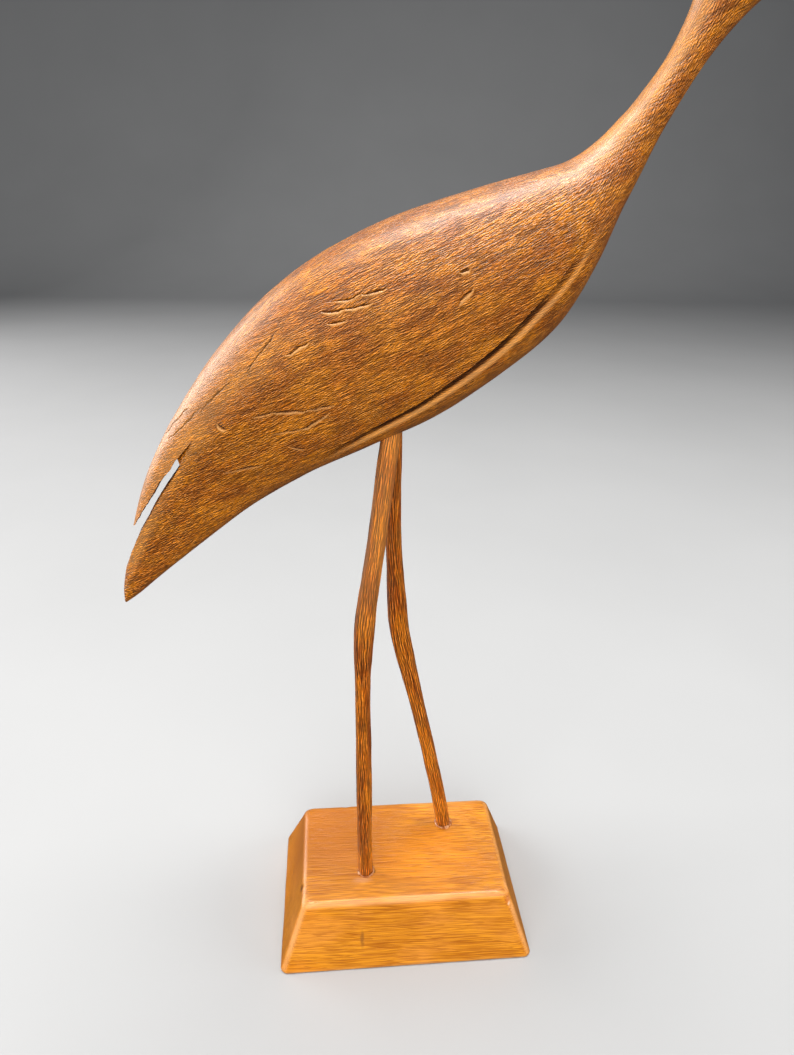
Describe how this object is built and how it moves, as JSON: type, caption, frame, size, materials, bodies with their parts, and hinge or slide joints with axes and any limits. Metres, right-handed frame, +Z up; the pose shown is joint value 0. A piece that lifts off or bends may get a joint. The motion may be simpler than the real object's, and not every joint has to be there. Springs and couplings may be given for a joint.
{
  "type": "wading bird carving",
  "caption": "Slender wading bird carved in dark wood, with a split tail and wing lines, standing on bent whittled legs in a sloping-sided block base.",
  "frame": {"origin": "middle of the base's underside", "axes": "+X the way the bird faces, +Z up, +Y towards the bird's left, the side of the leg that stands forward"},
  "size_m": [0.2091, 0.059, 0.3031],
  "materials": {
    "dark_wood": "oiled, satin, open pores",
    "base_wood": "clear lacquer, semi-gloss"
  },
  "bodies": {
    "root": {"bird": "dark_wood", "near_leg": "dark_wood", "far_leg": "dark_wood", "base": "base_wood"}
  },
  "joints": []
}
